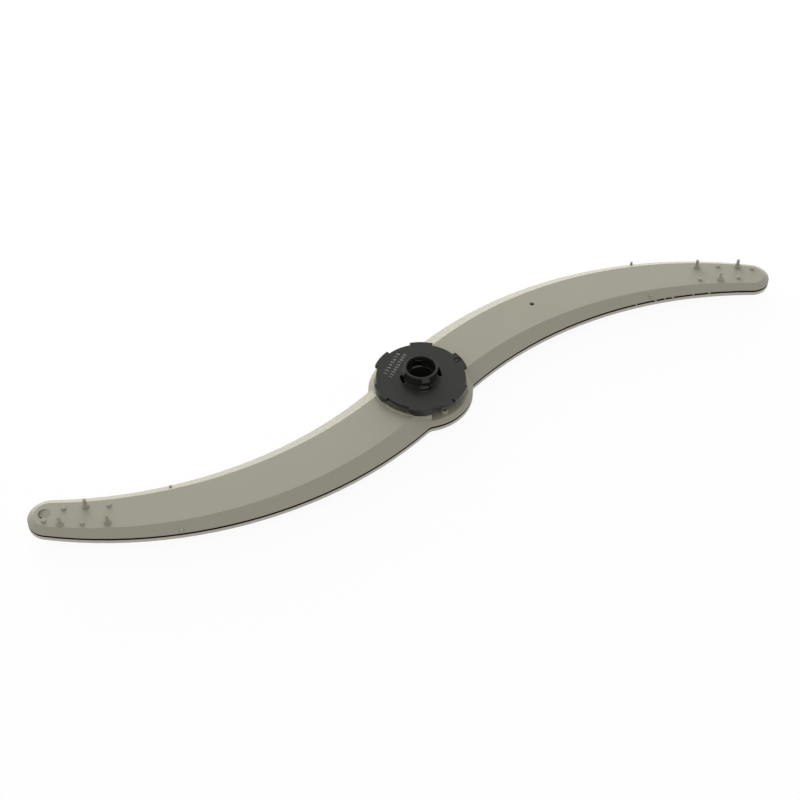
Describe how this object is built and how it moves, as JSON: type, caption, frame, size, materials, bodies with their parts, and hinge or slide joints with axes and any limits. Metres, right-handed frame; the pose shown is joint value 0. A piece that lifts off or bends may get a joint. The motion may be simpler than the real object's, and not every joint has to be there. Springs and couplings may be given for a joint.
{
  "type": "dishwasher spray arm",
  "caption": "S-shaped hollow dishwasher spray arm of welded grey plastic shells with bevelled flanks, and a black lobed bearing hub with snap catches that turns freely in its middle.",
  "frame": {"origin": "on the hub's axis, at the level of the flat nozzle face that the arm lies on", "axes": "+Z along the hub's axis, out of its tube; +X roughly along the longer wing"},
  "size_m": [0.434, 0.224, 0.0277],
  "materials": {
    "arm_plastic": "moulded warm grey polypropylene with a fine satin grain",
    "hub_plastic": "black glass-filled moulding, dull satin"
  },
  "bodies": {
    "arm": {"hub_side_shell": "arm_plastic", "nozzle_side_shell": "arm_plastic"},
    "hub": {"bearing_hub": "hub_plastic"}
  },
  "joints": [
    {"name": "hub_spin", "type": "hinge", "parent": "arm", "child": "hub", "pos_m": [0, 0, 0.01], "axis": [0, 0, 1], "continuous": true}
  ]
}
